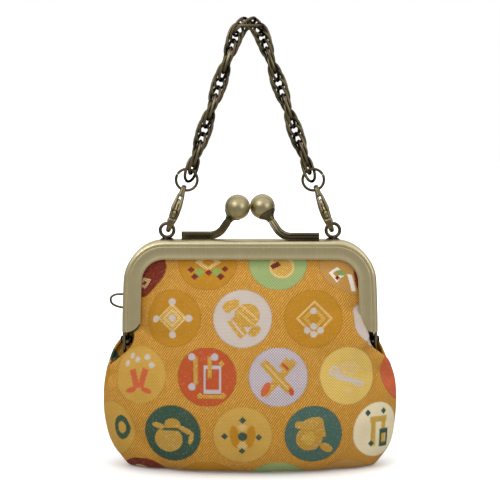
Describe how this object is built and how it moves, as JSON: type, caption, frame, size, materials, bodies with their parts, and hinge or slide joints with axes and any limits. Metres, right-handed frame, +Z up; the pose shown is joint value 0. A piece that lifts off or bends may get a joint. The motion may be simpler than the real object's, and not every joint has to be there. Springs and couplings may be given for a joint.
{
  "type": "clasp purse",
  "caption": "Rounded brocade coin purse on a hinged brass frame with a kiss-lock ball clasp, carried on a twisted chain that lobster clasps hook into the frame.",
  "frame": {"origin": "the hang point, on the inside of the top of the chain, where a finger or a hook carries the purse", "axes": "+Z up, +X across the frame to the right, the front panel towards -Y"},
  "size_m": [0.099, 0.0372, 0.1508],
  "materials": {
    "frame_brass": "brushed antique brass",
    "hardware_brass": "worn antique brass",
    "chain_brass": "darkened bronze with worn edges",
    "brocade": "twill brocade with woven medallions"
  },
  "bodies": {
    "purse": {"front_frame": "frame_brass", "back_frame": "frame_brass", "hinge_rivet_left": "hardware_brass", "hinge_rivet_right": "hardware_brass", "side_loop": "hardware_brass", "bag": "brocade", "left_clasp_body": "hardware_brass", "right_clasp_body": "hardware_brass", "left_jump_ring": "hardware_brass", "right_jump_ring": "hardware_brass", "chain": "chain_brass"},
    "left_lever": {"left_clasp_lever": "hardware_brass"},
    "right_lever": {"right_clasp_lever": "hardware_brass"}
  },
  "joints": [
    {"name": "left_lever_hinge", "type": "hinge", "parent": "purse", "child": "left_lever", "pos_m": [-0.02448, -0.0016, -0.05982], "axis": [0.9378, 0, -0.3472], "range_deg": [0, 24], "stiffness_Nm_per_rad": 0.01, "springref_deg": -20.05},
    {"name": "right_lever_hinge", "type": "hinge", "parent": "purse", "child": "right_lever", "pos_m": [0.02448, -0.0016, -0.05982], "axis": [0.9378, 0, 0.3472], "range_deg": [0, 24], "stiffness_Nm_per_rad": 0.01, "springref_deg": -20.05}
  ]
}
